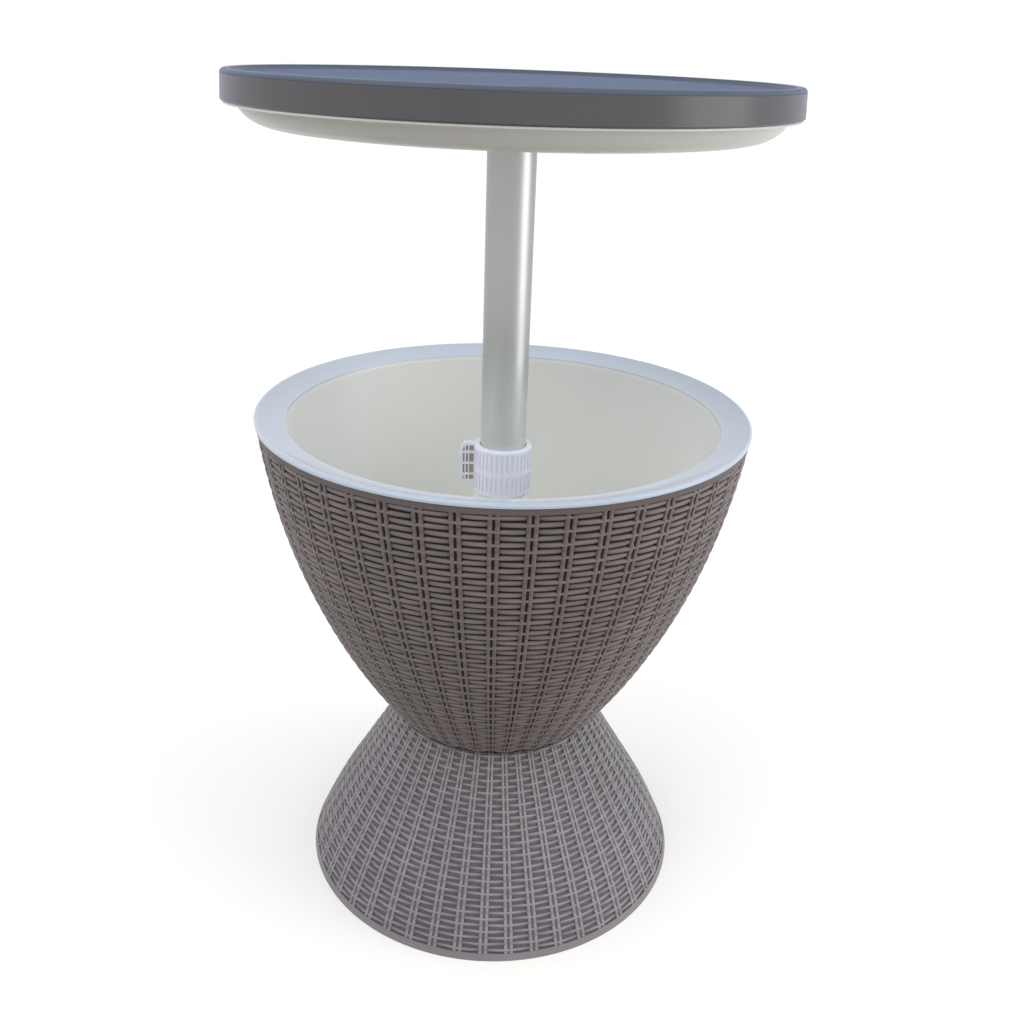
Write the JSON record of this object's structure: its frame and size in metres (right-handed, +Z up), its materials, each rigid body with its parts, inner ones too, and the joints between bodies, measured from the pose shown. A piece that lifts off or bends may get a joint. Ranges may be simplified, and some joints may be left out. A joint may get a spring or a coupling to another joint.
{
  "type": "ice bucket coffee table",
  "caption": "Round hourglass patio table with woven-look shells, an ice bucket in its upper half, and a round top that lifts on a locking pole and closes the bucket.",
  "frame": {"origin": "centre of the round foot, on the floor", "axes": "+Z up along the pole; the collar's thumb tab points along -X and the floor drain lies towards +Y"},
  "size_m": [0.5132, 0.5132, 0.8435],
  "materials": {
    "shell_taupe": "moulded weave, satin",
    "bucket_white": "glossy",
    "collar_white": "satin",
    "grip_taupe": "soft matt",
    "pole_aluminium": "satin drawn and anodised",
    "sleeve_aluminium": "mill finish",
    "bush_grey": "matt",
    "socket_taupe": "matt",
    "lid_taupe": "smooth, semi-gloss",
    "tray_white": "glossy",
    "screw_steel": "zinc plated",
    "plug_white": "satin",
    "seal_black": "matt"
  },
  "bodies": {
    "stand": {"base_shell": "shell_taupe", "upper_shell": "shell_taupe", "bucket": "bucket_white", "column_socket": "socket_taupe", "sleeve": "sleeve_aluminium", "clamp_bush": "bush_grey", "waist_screws": "screw_steel", "column_screws": "screw_steel"},
    "collar": {"lock_collar": "collar_white", "grip_pad": "grip_taupe"},
    "column": {"pole": "pole_aluminium", "pole_guide": "bush_grey", "pole_head": "bush_grey", "hub_washer": "screw_steel", "hub_bolt": "screw_steel"},
    "table_top": {"lid_top": "lid_taupe", "lid_tray": "tray_white", "lid_screws": "screw_steel"},
    "bung": {"drain_plug": "plug_white", "drain_seal": "seal_black"}
  },
  "joints": [
    {"name": "lid_lift", "type": "slide", "parent": "stand", "child": "column", "axis": [0, 0, 1], "range_m": [-0.2715, 0]},
    {"name": "lid_turn", "type": "hinge", "parent": "column", "child": "table_top", "pos_m": [0, 0, 0.8093], "axis": [0, 0, 1], "continuous": true},
    {"name": "collar_twist", "type": "hinge", "parent": "stand", "child": "collar", "pos_m": [0, 0, 0.469], "axis": [0, 0, 1], "range_deg": [0, 75]},
    {"name": "bung_pull", "type": "slide", "parent": "stand", "child": "bung", "axis": [0, 0, 1], "range_m": [0, 0.06]}
  ]
}
